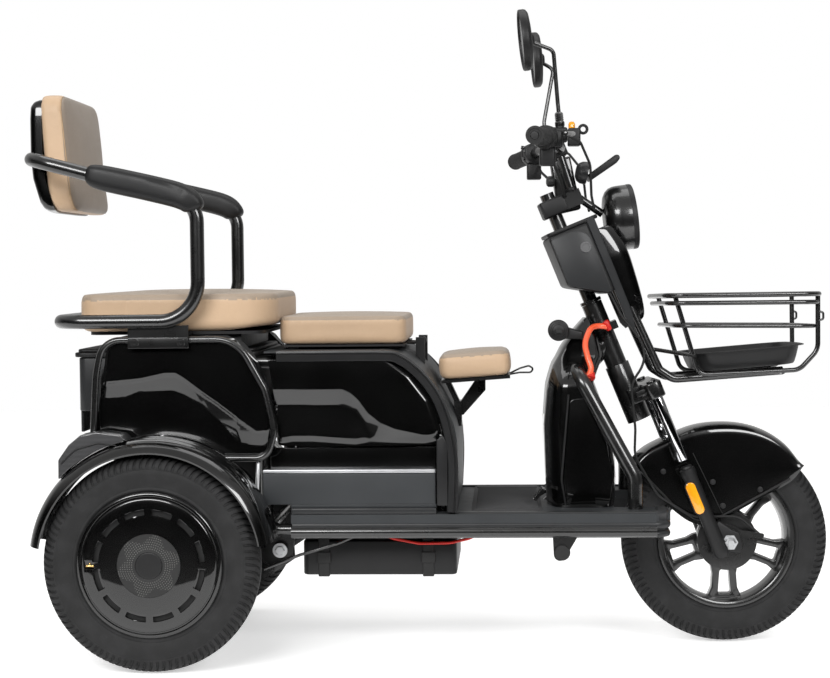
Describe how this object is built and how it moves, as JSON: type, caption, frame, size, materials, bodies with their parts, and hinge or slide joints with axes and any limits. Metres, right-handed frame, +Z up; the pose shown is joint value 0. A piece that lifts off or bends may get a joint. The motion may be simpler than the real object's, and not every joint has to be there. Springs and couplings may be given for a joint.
{
  "type": "electric three-wheel scooter",
  "caption": "Electric three-wheel passenger scooter with raked fork, hub-drum front wheel, bench seat with padded arms and backrest, driver and child seats, and a wire front basket.",
  "frame": {"origin": "under the middle of the overall length and width, on the ground", "axes": "+X forwards, +Y to the rider's left, +Z up"},
  "size_m": [1.5801, 0.688, 1.2596],
  "materials": {
    "gloss_body": "polished black",
    "satin_black": "fine grain black",
    "frame_paint": "satin black powder coat",
    "grey_band": "dark grey",
    "tyre": "ribbed",
    "rim_paint": "gloss black",
    "rubber": "matt",
    "tan_leather": "grained tan",
    "steel": "zinc plated",
    "alloy": "dark cast",
    "lamp": "smoked red and black",
    "cable_sheath": "orange and red sheath",
    "mirror_black": "black shell, glass rear face"
  },
  "bodies": {
    "chassis": {"main_frame": "frame_paint", "floor_board": "frame_paint", "floor_mat": "rubber", "leg_shield": "gloss_body", "leg_guard": "frame_paint", "seat_box_cover": "satin_black", "side_frames": "grey_band", "storage_box": "satin_black", "mid_panels": "gloss_body", "lower_panels": "satin_black", "battery_box": "satin_black", "rear_hoops": "frame_paint", "rear_panels": "gloss_body", "rear_fenders": "gloss_body", "tail_lamps": "lamp", "trunk": "satin_black", "trunk_lid": "satin_black", "rear_seat_pan": "frame_paint", "rear_seat_cushion": "tan_leather", "arm_frame": "frame_paint", "armrest_pads": "rubber", "backrest_cushion": "tan_leather", "backrest_shell": "gloss_body", "seat_hinge": "steel", "child_cushion": "tan_leather", "child_bracket": "frame_paint", "rear_axle": "frame_paint", "swing_arms": "frame_paint", "pivot_bolts": "steel", "brake_rods": "steel", "foot_pedal": "frame_paint", "ignition_lock": "satin_black", "lock_conduit": "cable_sheath", "battery_lead": "cable_sheath", "shock_absorbers": "steel"},
    "steering": {"steering_stem": "frame_paint", "brake_cable": "rubber", "fork": "steel", "brake_plate": "alloy", "front_fender": "gloss_body", "glove_box": "satin_black", "nose_fairing": "gloss_body", "headlight": "gloss_body", "handlebar": "frame_paint", "grips": "rubber", "switch_pods": "satin_black", "brake_levers": "frame_paint", "mirrors": "mirror_black", "basket_frame": "frame_paint", "basket_tray": "satin_black"},
    "front_wheel": {"front_tyre": "tyre", "front_rim": "rim_paint"},
    "left_wheel": {"left_tyre": "tyre", "left_rim": "rim_paint", "left_cover": "gloss_body"},
    "right_wheel": {"right_tyre": "tyre", "right_rim": "rim_paint", "right_cover": "gloss_body"},
    "driver_seat": {"driver_cushion": "tan_leather", "driver_seat_base": "frame_paint"}
  },
  "joints": [
    {"name": "steering", "type": "hinge", "parent": "chassis", "child": "steering", "pos_m": [0.3916, 0, 0.505], "axis": [-0.3746, 0, 0.9272], "range_deg": [-43.3, 36.7]},
    {"name": "front_wheel_spin", "type": "hinge", "parent": "steering", "child": "front_wheel", "pos_m": [0.5825, 0.00378, 0.20746], "axis": [-0.0534, 0.9983, -0.0216], "continuous": true},
    {"name": "rear_left_wheel_spin", "type": "hinge", "parent": "chassis", "child": "left_wheel", "pos_m": [-0.5274, 0.296, 0.2075], "axis": [0, 1, 0], "continuous": true},
    {"name": "rear_right_wheel_spin", "type": "hinge", "parent": "chassis", "child": "right_wheel", "pos_m": [-0.5274, -0.296, 0.2075], "axis": [0, 1, 0], "continuous": true},
    {"name": "driver_seat_hinge", "type": "hinge", "parent": "chassis", "child": "driver_seat", "pos_m": [-0.0274, 0, 0.612], "axis": [0, 1, 0], "range_deg": [0, 70]}
  ]
}
